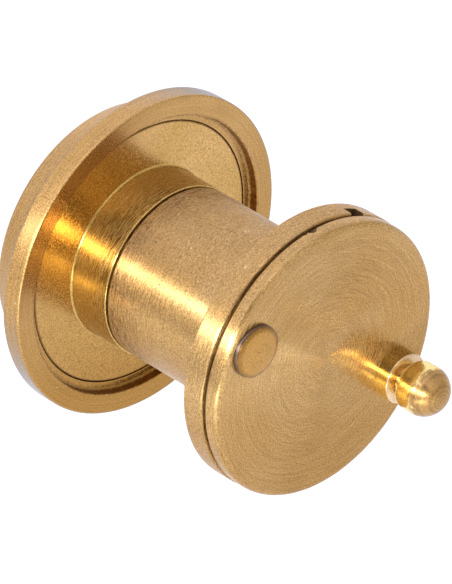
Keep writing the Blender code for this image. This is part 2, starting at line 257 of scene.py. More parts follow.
class Nodes:
    """A material's node tree, with short calls for the nodes that the finishes share."""

    def __init__(self, name):
        self.material = bpy.data.materials.new(name)
        self.material.use_nodes = True
        self.tree = self.material.node_tree
        self.shader = self.tree.nodes["Principled BSDF"]

    def add(self, kind, **settings):
        node = self.tree.nodes.new(kind)
        for key, value in settings.items():
            setattr(node, key, value)
        return node

    def link(self, source, target):
        self.tree.links.new(source, target)

    def feed(self, socket, value):
        """Give a socket a number or a colour, or link another socket to it."""
        if isinstance(value, tuple):
            socket.default_value = (*value, 1.0)
        elif isinstance(value, (int, float)):
            socket.default_value = value
        else:
            self.link(value, socket)

    def surface(self, **inputs):
        """Feed the shader's inputs. An underscore stands for the space in an input's name."""
        for name, value in inputs.items():
            self.feed(self.shader.inputs[name.replace("_", " ")], value)

    def math(self, operation, first, second=0.0, third=0.0):
        node = self.add("ShaderNodeMath", operation=operation)
        for index, value in enumerate((first, second, third)):
            self.feed(node.inputs[index], value)
        return node.outputs[0]

    def product(self, *factors):
        result = factors[0]
        for factor in factors[1:]:
            result = self.math("MULTIPLY", result, factor)
        return result

    def remap(self, value, low, high, to_low, to_high):
        """A ramp: to_low where the value is low, to_high where it is high, and level beyond them."""
        node = self.add("ShaderNodeMapRange")
        for index, entry in enumerate((value, low, high, to_low, to_high)):
            self.feed(node.inputs[index], entry)
        return node.outputs[0]

    def tint(self, color, shade):
        """A colour made darker or lighter by a factor."""
        node = self.add("ShaderNodeVectorMath", operation="SCALE")
        self.link(color, node.inputs[0])
        self.feed(node.inputs["Scale"], shade)
        return node.outputs[0]

    def mix(self, share, first, second):
        node = self.add("ShaderNodeMix", data_type="RGBA")
        self.feed(node.inputs[0], share)
        self.feed(node.inputs[6], first)
        self.feed(node.inputs[7], second)
        return node.outputs[2]

    def place(self):
        """Object coordinates."""
        return self.add("ShaderNodeTexCoord").outputs["Object"]

    def axes(self):
        """The three object coordinates, each on its own."""
        split = self.add("ShaderNodeSeparateXYZ")
        self.link(self.place(), split.inputs[0])
        return tuple(split.outputs)

    def reach(self):
        """Distance from the piece's own axis."""
        x, _, z = self.axes()
        return self.math("SQRT", self.math("ADD", self.product(x, x), self.product(z, z)))

    def along(self):
        """Height along the piece's own axis, which is y."""
        return self.axes()[1]

    def noise(self, scale, detail=2.0, roughness=0.5):
        """Noise whose values mostly lie between 0.3 and 0.7."""
        node = self.add("ShaderNodeTexNoise")
        self.link(self.place(), node.inputs["Vector"])
        node.inputs["Scale"].default_value = scale
        node.inputs["Detail"].default_value = detail
        node.inputs["Roughness"].default_value = roughness
        return node.outputs["Fac"]

    def turned_lines(self, per_metre, drift, detail=3.0):
        """Noise that runs round the axis as tool lines do. Drift is how much it changes in one turn."""
        x, y, z = self.axes()
        radius = self.reach()
        safe = self.math("MAXIMUM", radius, 1e-6)
        join = self.add("ShaderNodeCombineXYZ")
        self.link(self.product(radius, per_metre), join.inputs[0])
        self.link(self.product(y, per_metre), join.inputs[1])
        self.link(self.product(self.math("DIVIDE", x, safe), drift), join.inputs[2])
        node = self.add("ShaderNodeTexNoise", noise_dimensions="4D")
        self.link(join.outputs[0], node.inputs["Vector"])
        self.link(self.product(self.math("DIVIDE", z, safe), drift), node.inputs["W"])
        node.inputs["Scale"].default_value = 1.0
        node.inputs["Detail"].default_value = detail
        node.inputs["Roughness"].default_value = 0.6
        return node.outputs["Fac"]

    def feed_lines(self, spacing):
        """The lathe's own regular lines, from -1 to 1."""
        path = self.math("SUBTRACT", self.reach(), self.along())
        return self.math("SINE", self.product(path, 2.0 * math.pi / spacing))

    def bump(self, height, depth, below=None):
        node = self.add("ShaderNodeBump")
        node.inputs["Strength"].default_value = 1.0
        node.inputs["Distance"].default_value = depth
        self.link(height, node.inputs["Height"])
        if below:
            self.link(below, node.inputs["Normal"])
        return node.outputs["Normal"]


BRASS_DEEP = (0.420, 0.228, 0.062)
BRASS_PALE = (0.600, 0.385, 0.165)
BRASS_GOLD = (0.520, 0.325, 0.090)
BRASS_GOLD_DEEP = (0.440, 0.258, 0.058)
BRASS_ROSY = (0.535, 0.318, 0.112)
BRASS_DULL = (0.470, 0.285, 0.110)
BRASS_RAW = (0.460, 0.265, 0.090)
BRASS_RAW_DEEP = (0.380, 0.208, 0.060)
BRASS_BRIGHT = (0.830, 0.630, 0.230)
BRASS_CLEAR = (0.690, 0.490, 0.170)
BRASS_BROWN = (0.465, 0.248, 0.062)
BRASS_WORN = (0.330, 0.174, 0.058)
# pale brass of the knob's bevel, a painted reflection of the white surroundings
BRASS_SHEEN_WHITE = (0.640, 0.470, 0.280)
GLINT = (0.85, 0.65, 0.38)
# painted sheen: grey mixed in where the metal is seen at a low angle
GREY_SHEEN = (0.240, 0.195, 0.150)
# painted shade: the colour that darkens the lower parts
LOWER_SHADE = (0.350, 0.180, 0.040)
TARNISH = (0.10, 0.045, 0.012)
# painted shade in the rose's step and round the pivot's head
PAINTED_SHADE_BROWN = (0.170, 0.080, 0.016)
# painted shade along the disc's seam and on the top of the knob's collar
PAINTED_SHADE_DEEP = (0.120, 0.058, 0.014)

GRAIN = 4200.0             # scale of the fine grain
SPECKS = 1100.0            # scale of the dark specks
GLINTS = 1500.0            # scale of the bright ones
WEAR_AND_SHADE_ROUGHNESS = 0.14     # how much rougher full wear and full painted shade are


def brass_color(n, lines, contrast, cloud, tones, wear_and_shades, feed, sheen, lower_shade):
    """Clouds of two tones, pale edges, painted lower shade, wear and painted shade, painted grey sheen, then
    lines, specks and painted glints over them.
    """
    base = n.mix(n.remap(cloud, 0.38, 0.66, 0.0, 0.6), *tones)
    edge = n.add("ShaderNodeNewGeometry").outputs["Pointiness"]
    base = n.mix(n.remap(edge, 0.51, 0.58, 0.0, 0.5), base, BRASS_PALE)
    # painted shade: the lower part, low in z, is darkened
    if lower_shade:
        upward = n.axes()[2]
        base = n.mix(n.remap(upward, 0.004, -0.018, 0.0, lower_shade), base, LOWER_SHADE)
    # wear, and painted shade
    for share, color in wear_and_shades:
        base = n.mix(share, base, color)
    # painted grey sheen
    if sheen:
        base = n.mix(sheen(n), base, GREY_SHEEN)
    shade = 1.0
    for value, amount in zip(lines, contrast):
        shade = n.product(n.remap(value, 0.3, 0.7, 1.0 - amount, 1.0 + amount), shade)
    if feed:
        shade = n.product(n.remap(n.feed_lines(feed), -1.0, 1.0, 0.86, 1.14), shade)
    base = n.tint(base, shade)
    speck = n.noise(SPECKS, detail=1.0)
    base = n.mix(n.remap(speck, 0.775, 0.81, 0.0, 0.7), base, TARNISH)
    # bright specks in the colour: painted glints
    glint = n.noise(GLINTS, detail=0.0)
    return n.mix(n.remap(glint, 0.84, 0.88, 0.0, 0.6), base, GLINT)


def brass(name, smooth, rough, anisotropy, fine, broad, contrast, line_depth, grain_depth, tones,
          wear_and_shade=None, feed=0.0, sheen=None, patch=70.0, lower_shade=0.0):
    """Worked brass. Fine and broad are tool lines per metre, which run round the axis.

    The lands between the lines are smooth and the lines themselves rough, so the metal has a sharp
    reflection inside a wide soft one. Without anisotropy the grain takes the lines' part. Contrast is how
    much lines, bands and grain change the colour, and the two depths are those of their bumps. Tones are
    the two colours of the cloudy patches, and patch is how many of these there are in a metre. Wear and
    shade gives further colours and where they lie, worn metal and painted shade; they are rougher too.
    Feed is the spacing of a lathe's regular lines. Sheen gives the share of a painted grey sheen that
    dulls the metal. Lower shade is how far the lower part is darkened, as painted shade.
    """
    n = Nodes(name)
    tool = n.turned_lines(fine, drift=9.0)
    band = n.turned_lines(broad, drift=2.0, detail=2.0)
    grain = n.noise(GRAIN, detail=3.0, roughness=0.75)
    cloud = n.noise(patch, detail=3.0, roughness=0.6)
    wear_and_shades = wear_and_shade(n) if wear_and_shade else []
    color = brass_color(n, (tool, band, grain), contrast, cloud, tones, wear_and_shades, feed, sheen, lower_shade)

    worked = tool if anisotropy else grain
    finish = n.math("ADD", n.remap(worked, 0.44, 0.56, smooth, rough), n.remap(cloud, 0.3, 0.7, -0.03, 0.04))
    for share, _ in wear_and_shades:
        finish = n.math("MULTIPLY_ADD", share, WEAR_AND_SHADE_ROUGHNESS, finish)

    normal = n.bump(grain, grain_depth)
    if line_depth:
        normal = n.bump(band, line_depth, normal)
        normal = n.bump(tool, line_depth, normal)

    n.surface(Base_Color=color, Roughness=finish, Normal=normal, Metallic=1.0)
    n.surface(Anisotropic=anisotropy, Anisotropic_Rotation=0.25)
    if anisotropy:
        n.surface(Tangent=n.add("ShaderNodeTangent", direction_type="RADIAL", axis="Y").outputs[0])
    return n.material


def burnished(name, wear_and_shade=None):
    """Brown rubbed brass of the small fittings."""
    return brass(name, smooth=0.20, rough=0.36, anisotropy=0.3, fine=7000.0, broad=2000.0,
                 contrast=(0.08, 0.06, 0.26), line_depth=0.000003, grain_depth=0.000002,
                 tones=(BRASS_BROWN, BRASS_RAW_DEEP), wear_and_shade=wear_and_shade, patch=260.0)


def steel(name, color, roughness):
    """Bright plated steel with faint turned lines."""
    n = Nodes(name)
    tool = n.turned_lines(9000.0, drift=2.0)
    dark = tuple(channel * 0.8 for channel in color)
    n.surface(Base_Color=n.mix(n.noise(300.0, detail=3.0), color, dark),
              Roughness=n.remap(tool, 0.3, 0.7, roughness - 0.05, roughness + 0.08),
              Normal=n.bump(tool, 0.00001), Metallic=1.0)
    return n.material


def black_metal(name):
    """Matt black anodised ring, so that light inside the tube dies away."""
    n = Nodes(name)
    tool = n.turned_lines(7000.0, drift=2.0)
    n.surface(Base_Color=n.mix(n.noise(400.0), (0.012, 0.012, 0.013), (0.03, 0.03, 0.032)),
              Roughness=n.remap(tool, 0.3, 0.7, 0.42, 0.6), Normal=n.bump(tool, 0.00002), Metallic=0.4)
    return n.material


def milled(name, dark, light):
    """Unpolished dark brass. In the key slots its dark is painted shade; it also darkens the nicks and the
    edge in the gap behind the cover.
    """
    n = Nodes(name)
    mark = n.noise(2600.0, detail=3.0, roughness=0.7)
    n.surface(Base_Color=n.mix(mark, dark, light), Roughness=n.remap(mark, 0.3, 0.7, 0.45, 0.75),
              Normal=n.bump(mark, 0.00004), Metallic=0.9)
    return n.material


def rubber(name):
    n = Nodes(name)
    n.surface(Base_Color=n.mix(n.noise(900.0), (0.012, 0.012, 0.012), (0.03, 0.03, 0.03)),
              Roughness=n.remap(n.noise(2500.0), 0.3, 0.7, 0.6, 0.85),
              Normal=n.bump(n.noise(6000.0), 0.00002))
    return n.material


def glass(name):
    """Clear optical glass with a breath of dust on it."""
    n = Nodes(name)
    n.surface(Base_Color=n.mix(n.noise(200.0), (0.96, 0.99, 0.98), (0.93, 0.98, 0.96)),
              Roughness=n.remap(n.noise(600.0, detail=4.0), 0.45, 0.75, 0.0, 0.06),
              Transmission_Weight=1.0, IOR=1.52)
    return n.material


# Painted sheen, then wear and painted shade. Each mark of wear and shade is a list of pairs: where a colour
# lies, from 0 to 1, and the colour

def rim_sheen(n):
    """A painted grey sheen on the rose's outer edge, where it is seen at a low angle. The recess is free of
    it.
    """
    facing = n.add("ShaderNodeLayerWeight").outputs["Facing"]
    outside = n.remap(n.reach(), RECESS_RADIUS + 0.0005, RECESS_RADIUS + 0.0012, 0.0, 1.0)
    return n.product(n.remap(facing, 0.40, 0.80, 0.0, 0.9), outside)


def step_shade(n):
    """Painted shade on the wall and the fillet where the rose steps down to the barrel's disc, ragged at the
    edge.
    """
    wander = n.remap(n.noise(1500.0, detail=3.0, roughness=0.7), 0.3, 0.7, -0.00025, 0.00025)
    ragged = n.math("ADD", n.reach(), wander)
    inside = n.remap(ragged, RECESS_RADIUS - 0.0007, RECESS_RADIUS - 0.0003, 0.0, 1.0)
    outside = n.remap(ragged, RECESS_RADIUS + 0.0001, RECESS_RADIUS + 0.0003, 1.0, 0.0)
    patchy = n.remap(n.noise(3600.0, detail=3.0, roughness=0.7), 0.35, 0.65, 0.25, 0.80)
    door_side = n.remap(n.along(), 0.0020, 0.0016, 0.0, 1.0)
    return [(n.product(inside, outside, patchy, door_side), PAINTED_SHADE_BROWN)]


def seam_shade(n):
    """Painted shadow along the edge of the barrel's disc, against the rose."""
    edge = radius_of("front_barrel")
    return [(n.remap(n.reach(), edge - 0.00015, edge + 0.00012, 0.0, 0.9), PAINTED_SHADE_DEEP)]


def head_edge_shade(n):
    """Painted brown shade round the edge of the pivot's head."""
    edge = radius_of("pivot_screw")
    return [(n.remap(n.reach(), edge - 0.0009, edge - 0.0001, 0.0, 0.75), PAINTED_SHADE_BROWN)]


def knob_wear_and_shade(n):
    """The knob's ball is duller on the end that fingers touch.

    The upper side of the collar is darker, as painted shade.
    """
    x, y, z = n.axes()
    tip = span_of("cover_knob")[0]
    collar_end = span_of("swing_cover")[0] - KNOB_COLLAR
    wavy = n.math("ADD", y, n.remap(n.noise(900.0, detail=3.0), 0.3, 0.7, -0.0006, 0.0006))
    worn = n.remap(wavy, tip + 0.0026, tip + 0.0034, 0.9, 0.0)
    upward = n.math("SUBTRACT", z, n.product(x, 0.09))
    # painted shade on the upper side of the collar
    collar_top_shade = n.remap(upward, 0.0024, 0.0029, 0.0, 1.0)
    patchy = n.remap(n.noise(2600.0, detail=3.0, roughness=0.7), 0.35, 0.65, 0.35, 0.65)
    on_collar = n.remap(y, collar_end + 0.00052, collar_end + 0.00062, 0.0, 1.0)
    return [(worn, BRASS_WORN), (n.product(collar_top_shade, patchy, on_collar), PAINTED_SHADE_DEEP)]


# The finishes, and what wears them

DULL = (BRASS_DULL, BRASS_DEEP)
RAW = (BRASS_RAW, BRASS_RAW_DEEP)

# interior barrel and its flange
SATIN = brass("satin_turned_brass", smooth=0.22, rough=0.48, anisotropy=0.92, fine=15000.0, broad=3600.0,
              contrast=(0.20, 0.05, 0.60), line_depth=0.000004, grain_depth=0.000005, tones=DULL,
              lower_shade=0.7)
# cover
FACED = brass("faced_brass", smooth=0.19, rough=0.44, anisotropy=0.92, fine=15000.0, broad=4200.0,
              contrast=(0.12, 0.15, 0.56), line_depth=0.000002, grain_depth=0.000002, tones=DULL,
              lower_shade=0.45)
# exterior barrel's collar and shank
FINE_TURNED = brass("fine_turned_brass", smooth=0.15, rough=0.38, anisotropy=0.85, fine=15000.0,
                    broad=3000.0, contrast=(0.08, 0.02, 0.46), line_depth=0.000003, grain_depth=0.000004,
                    tones=(BRASS_GOLD, BRASS_GOLD_DEEP), feed=0.00030)
# rose
CAST = brass("cast_brass", smooth=0.23, rough=0.40, anisotropy=0.0, fine=5000.0, broad=2500.0,
             contrast=(0.05, 0.12, 0.38), line_depth=0.000002, grain_depth=0.000007, tones=RAW,
             wear_and_shade=step_shade, sheen=rim_sheen, lower_shade=0.8)
# face of the rose's rim and the recess in it
RIM_FACE = brass("rim_face_brass", smooth=0.16, rough=0.32, anisotropy=0.0, fine=6000.0, broad=3000.0,
                 contrast=(0.05, 0.10, 0.36), line_depth=0.000003, grain_depth=0.000005, tones=RAW,
                 wear_and_shade=step_shade, lower_shade=1.1)
# disc of the exterior barrel
BLASTED = brass("grainy_brass", smooth=0.16, rough=0.30, anisotropy=0.0, fine=5000.0, broad=1500.0,
                contrast=(0.0, 0.0, 0.46), line_depth=0.0, grain_depth=0.000006,
                tones=(BRASS_ROSY, BRASS_GOLD_DEEP), wear_and_shade=seam_shade, lower_shade=0.9)
# bevel and end of the knob's collar, paler: painted reflection of the white surroundings
BEVELLED = brass("bevelled_brass", smooth=0.14, rough=0.26, anisotropy=0.3, fine=9000.0, broad=3600.0,
                 contrast=(0.05, 0.10, 0.26), line_depth=0.000002, grain_depth=0.000002,
                 tones=(BRASS_SHEEN_WHITE, BRASS_PALE))
# knob
POLISHED = brass("polished_brass", smooth=0.10, rough=0.22, anisotropy=0.5, fine=9000.0, broad=3600.0,
                 contrast=(0.10, 0.10, 0.26), line_depth=0.000005, grain_depth=0.000003,
                 tones=(BRASS_BRIGHT, BRASS_CLEAR), wear_and_shade=knob_wear_and_shade, feed=0.00034)
# bezel and eyepiece ring, pivot screw, washer and knob screw
BURNISHED = burnished("burnished_brass")
# the pivot's brass, with painted shade round its head's edge
PIVOT_BRASS = burnished("pivot_brass", head_edge_shade)
PLATED = steel("plated_steel", (0.18, 0.125, 0.090), 0.32)
# key slots, dark as painted shade, and nicks; then the dark edge in the gap behind the cover
SHADE_MILLED = milled("milled_shade_brass", dark=(0.055, 0.028, 0.010), light=(0.16, 0.085, 0.030))
GAP_DARK = milled("gap_dark_brass", dark=(0.14, 0.056, 0.007), light=(0.27, 0.120, 0.020))
# inside the tube
BLACK = black_metal("black_ring")
RUBBER = rubber("seal_rubber")
GLASS = glass("lens_glass")


# Exterior half

def make_rose():
    """Rim, cove and raised front; its door side has a recess, and in that a seat for the barrel's disc."""
    low, high = span_of("front_rose")
    outer = radius_of("front_rose")
    seat_bore = radius_of("front_barrel") + 0.0003
    recess_floor = low + 0.0015
    seat_floor = recess_floor + 0.0021
    rim = low + 0.0034
    foot = outer - 0.0031
    cove = low + 0.0066
    crown = outer - 0.0052
    bore = 0.0150
    outline = softened([
        (RECESS_RADIUS, low, 0.00018),
        (outer, low, 0.00035),
        (outer, rim, 0.00045),
        (foot, rim, 0.0006),
        (crown + 0.0010, cove, 0.0012),
        (crown, high, 0.0006),
        (bore, high, 0.0003),
        (bore, seat_floor),
        (seat_bore, seat_floor),
        (seat_bore, recess_floor, 0.0001),
        (RECESS_RADIUS, recess_floor, 0.0005),
    ])
    item = spun("rose", outline, 2 * FINE)
    chip_recess(item, recess_floor)
    dress(item, CAST, "exterior_half", "front_rose")

    def on_rim_face(point):
        across = math.hypot(point.x, point.z)
        return seat_bore < across < outer - 0.0004 and point.y < recess_floor + 0.00005

    refinish(item, RIM_FACE, on_rim_face)


def chip_recess(item, floor):
    """Roughen the recess's edge, which the cutter left slightly ragged."""
    band = 0.0004          # how far from the edge the chips reach
    strength = 0.0032      # share of the radius
    coarse = 1400.0        # chips per metre
    fine = 3500.0
    for vertex in item.data.vertices:
        across = math.hypot(vertex.co.x, vertex.co.z)
        if abs(across - RECESS_RADIUS) < band and vertex.co.y < floor:
            chip = noise.noise(vertex.co * coarse) + 0.6 * noise.noise(vertex.co * fine)
            vertex.co.x *= 1.0 + strength * chip
            vertex.co.z *= 1.0 + strength * chip


def make_outer_barrel():
    """Disc, collar and threaded shank. The disc is grainy, the collar finely turned."""
    low, high = span_of("front_barrel")
    disc = radius_of("front_barrel") + 0.00027
    disc_face = high - 0.0018
    collar = 0.01385
    shoulder = -0.0058
    crest = 0.0122
    root = 0.0115
    bore = 0.0096
    lens_bore = 0.0116
    shelf = -0.0070
    fillet = 0.0004
    outline = [(disc, disc_face, 0.00030), (disc, high, 0.0002), (lens_bore, high, 0.0002),
               (lens_bore, shelf), (bore, shelf, 0.0002), (bore, low, 0.0003), (root, low, 0.0003)]
    outline += thread_rows(root, crest, low + 0.0004, shoulder - 0.0008, 0.0012)
    outline += [(crest, shoulder), (collar, shoulder, 0.00015)]
    outline += arc((collar + fillet, disc_face - fillet), fillet, 180.0, 90.0, 5)
    item = spun("outer_barrel", softened(outline), FINE)
    dress(item, FINE_TURNED, "exterior_half", "front_barrel")
    refinish(item, BLASTED, lambda point: point.y > disc_face - 0.00001)


def make_bezel():
    low, high = span_of("front_bezel")
    outer = radius_of("front_bezel")
    inner = outer - 0.0026
    outline = softened([
        (inner + 0.0012, low), (outer, low), (outer, high, 0.0003),
        (inner + 0.0010, high, 0.0003), (inner, high - 0.0009, 0.0003), (inner, low + 0.0010),
    ])
    item = spun("bezel", outline, FINE)
    slots = slot_pair(0.0, inner - 0.001, outer + 0.001, 0.0016, high - 0.0011, high + 0.001)
    carve(item, slots, SMALL_EDGE)
    dress(item, BURNISHED, "exterior_half", "front_bezel")


def lens_outline(radius, clear, low, high, low_sag, high_sag):
    """Half section of a lens with a flat land outside the clear radius. A positive sag bulges out."""
    pieces = 24
    chamfer = 0.0001

    def face(edge_y, sag, outward):
        if sag == 0.0:
            return [(0.0, edge_y)]
        sphere = (clear ** 2 + sag ** 2) / (2.0 * abs(sag))
        points = []
        for index in range(pieces + 1):
            r = clear * index / pieces
            rise = math.sqrt(sphere ** 2 - r ** 2) - (sphere - abs(sag))
            points.append((r, edge_y + outward * math.copysign(rise, sag)))
        return points

    rim = [(radius - chamfer, low), (radius, low + chamfer),
           (radius, high - chamfer), (radius - chamfer, high)]
    return face(low, low_sag, -1.0) + rim + face(high, high_sag, 1.0)[::-1]


def make_lenses():
    """Each lens's clear radius, then how far its two faces bulge, the room side's first."""
    for name, node, body, clear, low_sag, high_sag in (
            ("back_lens", "third_lens", "exterior_half", 0.0093, -0.0006, -0.0006),
            ("middle_lens", "second_lens", "exterior_half", 0.0093, -0.0010, 0.0),
            ("front_lens", "objective_lens", "exterior_half", 0.0120, -0.0012, 0.0026),
            ("eye_lens", "eyepiece_lens", "eyepiece", 0.0069, 0.0007, 0.00065)):
        low, high = span_of(node)
        low += max(low_sag, 0.0)
        high -= max(high_sag, 0.0)
        outline = lens_outline(radius_of(node), clear, low, high, low_sag, high_sag)
        dress(spun(name, outline, MEDIUM), GLASS, body, node)


def make_black_ring(name, node, inner, slotted):
    low, high = span_of(node)
    outer = radius_of(node)
    outline = softened([(inner, low, 0.0001), (outer, low, 0.0002), (outer, high, 0.0002),
                        (inner, high, 0.0001)])
    item = spun(name, outline, MEDIUM)
    if slotted:
        carve(item, slot_pair(math.radians(20.0), 0.0088, 0.0125, SPANNER_WIDTH, low + 0.0009, high + 0.001))
    dress(item, BLACK, "exterior_half", node)


def make_seal():
    """A round rubber ring."""
    low, high = span_of("objective_seal")
    thick = (high - low) / 2.0
    middle = radius_of("objective_seal") - thick
    outline = arc((middle, (low + high) / 2.0), thick, 0.0, 345.0, 23)
    dress(spun("seal", outline, MEDIUM), RUBBER, "exterior_half", "objective_seal")


# Interior half

def in_slot(point, low):
    """Whether a point lies inside one of the flange's two key slots."""
    along = point.x * math.cos(SLOT_CLOCK) + point.z * math.sin(SLOT_CLOCK)
    across = point.z * math.cos(SLOT_CLOCK) - point.x * math.sin(SLOT_CLOCK)
    inside = abs(across) < SLOT_WIDTH / 2.0 + 0.00002 and abs(along) > SLOT_INNER - 0.00005
    return inside and low + SMALL_EDGE < point.y < low + SLOT_DEPTH + 0.00005


def make_inner_barrel():
    """Flange and internally threaded barrel, with the eyepiece's pocket and window in its end."""
    low, high = span_of("interior_barrel")
    flange = radius_of("interior_barrel")
    back = low + 0.0039
    barrel = 0.0137
    bore = 0.0123
    thread_root = bore + 0.0006
    thread_start = -0.0120
    pocket = 0.0090
    pocket_floor = -0.0324
    window = 0.0070
    window_top = -0.0315
    outline = [(bore, high - 0.0004), (bore + 0.0004, high, 0.0001), (barrel, high, 0.0003),
               (barrel, back, 0.0002), (flange, back, 0.0004), (flange, low, 0.0004), (pocket, low, 0.0002),
               (pocket, pocket_floor), (window, pocket_floor, 0.0001), (window, window_top, 0.0001),
               (bore, window_top)]
    outline += thread_rows(thread_root, bore, thread_start, high - 0.0005, 0.0009)
    item = spun("inner_barrel", softened(outline), FINE)
    slots = slot_pair(SLOT_CLOCK, SLOT_INNER, flange + 0.002, SLOT_WIDTH, low - 0.001, low + SLOT_DEPTH)
    carve(item, slots, SMALL_EDGE)
    dress(item, SATIN, "interior_half", "interior_barrel")
    # painted shade inside the key slots
    refinish(item, SHADE_MILLED, lambda point: in_slot(point, low))


def make_eyepiece_ring():
    low, high = span_of("eyepiece_ring")
    outer = radius_of("eyepiece_ring")
    inner = 0.0070
    outline = softened([(inner, low + 0.0003, 0.0002), (inner + 0.0006, low, 0.0002), (outer, low, 0.0001),
                        (outer, high), (inner, high, 0.0003)])
    item = spun("eyepiece_lock", outline, FINE)
    carve(item, slot_pair(SLOT_CLOCK, 0.0065, 0.0095, SPANNER_WIDTH, low - 0.0005, low + 0.0006))
    dress(item, BURNISHED, "interior_half", "eyepiece_ring")


def make_pivot():
    """Low domed head on a shoulder, with a thin threaded end."""
    low, high = span_of("pivot_screw")
    head = radius_of("pivot_screw")
    seat = low + 0.0006
    shoulder = 0.0022
    shoulder_end = high - 0.0029
    thread = 0.0015
    rim = head - 0.0006
    dome_height = 0.00018
    outline = [(rim * 0.12 * step, low + dome_height * (0.12 * step) ** 2) for step in range(8)]
    outline += [(rim, low + 0.00020, 0.0003), (head, low + 0.00046, 0.0002), (head, seat, 0.00008),
                (shoulder, seat), (shoulder, shoulder_end), (thread, shoulder_end), (thread, high, 0.0003),
                (0.0, high)]
    item = spun("pivot_pin", softened(outline), MEDIUM, axis_of("pivot_screw"))
    dress(item, PIVOT_BRASS, "interior_half", "pivot_screw")


def make_washer():
    """Spring washer between the pivot's head and the cover, a little fatter than in the CAD to touch both."""
    low, high = span_of("pivot_washer")
    low -= 0.00006
    high += 0.00007
    outer = radius_of("pivot_washer") - 0.0001
    outline = softened([(PIVOT_HOLE, low), (outer, low, 0.0002), (outer, high, 0.0001), (PIVOT_HOLE, high)])
    item = spun("spring_washer", outline, MEDIUM, axis_of("pivot_screw"))
    dress(item, PLATED, "interior_half", "pivot_washer")


# Cover

def chip_cutter(clock, radius, y, size):
    """A small ragged lump that takes a nick out of an edge."""
    work = bmesh.new()
    bmesh.ops.create_icosphere(work, subdivisions=3, radius=size)
    for vertex in work.verts:
        vertex.co *= 1.0 + 0.5 * noise.noise(vertex.co / size * 1.3)
        vertex.co.x *= 1.7
    place = Vector((radius * math.cos(clock), y, radius * math.sin(clock)))
    bmesh.ops.transform(work, verts=work.verts, matrix=Matrix.Translation(place))
    return placed(work, "cutter")


def make_cover():
    """Disc with a round front edge, a chamfered back edge that is dark in the gap, and three small nicks."""
    low, high = span_of("swing_cover")
    outer = radius_of("swing_cover")
    chamfer = 0.00045
    knob_hole = 0.0022
    countersink = 0.0034
    outline = softened([(0.0, high), (outer - chamfer, high, 0.00005), (outer, high - chamfer, 0.00008),
                        (outer, low, 0.0013), (0.0, low)], 8)
    item = spun("privacy_cover", outline, FINE)
    below = low - 0.001
    above = high + 0.001
    cutters = [hole_cutter("pivot_screw", [(PIVOT_HOLE, below), (PIVOT_HOLE, above)]),
               hole_cutter("cover_knob", [(knob_hole, below), (knob_hole, high - 0.0013),
                                          (countersink, high), (countersink, above)])]
    nicks = [(math.radians(clock), high - chamfer - lower, size)
             for clock, lower, size in ((92.0, 0.0002, 0.00042), (90.4, 0.0, 0.00026), (95.5, 0.0, 0.0002))]
    cutters += [chip_cutter(clock, outer + 0.00005, y, size) for clock, y, size in nicks]
    carve(item, cutters)
    dress(item, FACED, "cover", "swing_cover")

    def in_gap(point):
        return point.y > high - chamfer - 0.00002 and math.hypot(point.x, point.z) > outer - 0.001

    def in_nick(point):
        if math.hypot(point.x, point.z) > outer - 0.00002:
            return False
        middles = [(Vector((outer * math.cos(clock), y, outer * math.sin(clock))), size)
                   for clock, y, size in nicks]
        return any((point - middle).length < 2.2 * size for middle, size in middles)

    refinish(item, GAP_DARK, in_gap)
    refinish(item, SHADE_MILLED, in_nick)


def make_knob():
    """Collar with a bevel, neck and ball, whose widest place runs straight for a little, and the stem."""
    low, high = span_of("cover_knob")
    ball = radius_of("cover_knob")
    centre = low + ball
    seat = span_of("swing_cover")[0]
    collar_end = seat - KNOB_COLLAR
    bevel = 0.0012
    bevel_end = collar_end + 0.4 * bevel
    neck = 0.0024
    straight = 0.0013
    neck_angle = math.acos(neck / ball)
    neck_rise = math.sin(neck_angle)
    squeeze = (ball * neck_rise - straight) / (ball * neck_rise)
    stem = 0.0020
    tapped = 0.0012
    tapped_end = seat - 0.0012
    outline = [(0.0, low)] + arc((0.0, centre), ball, -90.0, 0.0, 28)[1:]
    for radius, y in arc((0.0, centre), ball, 0.0, math.degrees(neck_angle) - 2.0, 16):
        outline.append((radius, centre + straight + (y - centre) * squeeze))
    outline += [(neck, centre + straight + ball * squeeze * neck_rise + 0.00002), (neck, collar_end),
                (ball - bevel, collar_end, 0.00008), (ball, bevel_end, 0.00012), (ball, seat, 0.00005),
                (stem, seat), (stem, high, 0.0002), (tapped, high), (tapped, tapped_end), (0.0, tapped_end)]
    item = spun("knob", softened(outline), MEDIUM, axis_of("cover_knob"))
    dress(item, POLISHED, "cover", "cover_knob")

    def on_bevel(point):
        outside = math.hypot(point.x, point.z) > neck + 0.00005
        return outside and collar_end - 0.00005 < point.y < bevel_end + 0.00006

    refinish(item, BEVELLED, on_bevel)


def make_knob_screw():
    """Countersunk screw with a driver slot, which draws the knob up from behind."""
    axis = axis_of("knob_screw")
    low, high = span_of("knob_screw")
    head = 0.0032
    shank = 0.0011
    outline = softened([(0.0, low), (shank, low, 0.0002), (shank, high - 0.0011), (head, high - 0.0001),
                        (head - 0.0001, high), (0.0, high)])
    item = spun("knob_fixing", outline, MEDIUM, axis)
    groove = box_cutter(0.0, -0.005, 0.005, 0.0008, high - 0.0005, high + 0.0005)
    groove.location = axis
    carve(item, [groove])
    dress(item, PLATED, "cover", "knob_screw")


# Floor, light and camera

def make_floor():
    """A plain pale floor, well below the viewer, bright enough to read as a white sweep."""
    work = bmesh.new()
    bmesh.ops.create_grid(work, x_segments=2, y_segments=2, size=6.0)
    floor = placed(work, "floor", Vector((0.0, 0.0, -0.25)))
    n = Nodes("pale_floor")
    n.surface(Base_Color=(0.72, 0.72, 0.72), Roughness=0.9, Specular_IOR_Level=0.0,
              Emission_Color=(1.0, 1.0, 1.0), Emission_Strength=0.10)
    floor.data.materials.append(n.material)


